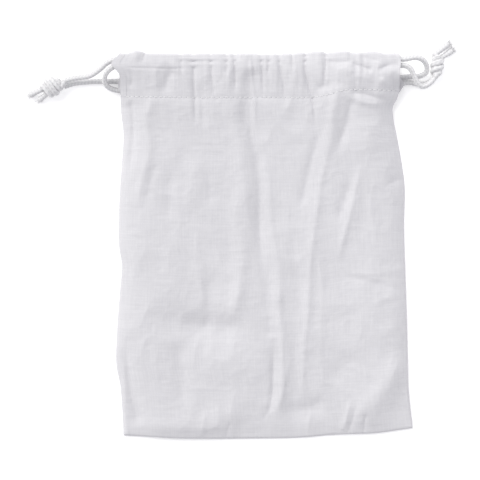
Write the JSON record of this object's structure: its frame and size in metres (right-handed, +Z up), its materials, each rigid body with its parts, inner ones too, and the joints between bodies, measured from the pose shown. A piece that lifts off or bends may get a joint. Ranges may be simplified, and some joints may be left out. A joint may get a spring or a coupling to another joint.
{
  "type": "drawstring produce bag",
  "caption": "Small white muslin produce bag lying flat, with a stitched casing round its mouth and opposed knotted drawstrings.",
  "frame": {"origin": "on the surface that the bag lies on, under the middle of the bag without its cords", "axes": "+Y from the closed bottom to the mouth, +X across the bag to the right as the front panel is seen, +Z up from the surface through the front panel"},
  "size_m": [0.2201, 0.2056, 0.0129],
  "materials": {
    "muslin": "white plain-weave cotton muslin, washed and uncoated",
    "thread": "white sewing thread",
    "cord": "white soft braided cotton cord"
  },
  "bodies": {
    "bag": {"front_panel": "muslin", "back_panel": "muslin", "front_casing": "muslin", "back_casing": "muslin", "left_side_seam": "muslin", "right_side_seam": "muslin", "bottom_seam": "muslin", "front_casing_stitching": "thread", "back_casing_stitching": "thread", "left_seam_stitching": "thread", "right_seam_stitching": "thread", "bottom_seam_stitching": "thread"},
    "mouth_left": {"front_left_slit_hem": "muslin", "back_left_slit_hem": "muslin"},
    "mouth_right": {"front_right_slit_hem": "muslin", "back_right_slit_hem": "muslin"},
    "left_drawstring": {"left_drawstring_cord": "cord", "left_knot": "cord", "left_tail_upper": "cord", "left_tail_lower": "cord"},
    "right_drawstring": {"right_drawstring_cord": "cord", "right_knot": "cord", "right_tail_upper": "cord", "right_tail_lower": "cord"}
  },
  "joints": [
    {"name": "left_drawstring_pull", "type": "slide", "parent": "bag", "child": "left_drawstring", "axis": [-1, 0, 0], "range_m": [0, 0.036]},
    {"name": "right_corner_gather", "type": "slide", "parent": "bag", "child": "mouth_right", "axis": [-1, 0, 0], "range_m": [0, 0.036], "deforming": ["front_panel", "back_panel", "front_casing", "back_casing", "right_side_seam", "right_seam_stitching", "front_casing_stitching", "back_casing_stitching"]},
    {"name": "right_drawstring_pull", "type": "slide", "parent": "bag", "child": "right_drawstring", "axis": [1, 0, 0], "range_m": [0, 0.036]},
    {"name": "left_corner_gather", "type": "slide", "parent": "bag", "child": "mouth_left", "axis": [1, 0, 0], "range_m": [0, 0.036], "deforming": ["front_panel", "back_panel", "front_casing", "back_casing", "left_side_seam", "left_seam_stitching", "front_casing_stitching", "back_casing_stitching"]}
  ],
  "couplings": [
    {"joint": "right_corner_gather", "follows": "left_drawstring_pull", "ratio": 1},
    {"joint": "left_corner_gather", "follows": "right_drawstring_pull", "ratio": 1}
  ]
}
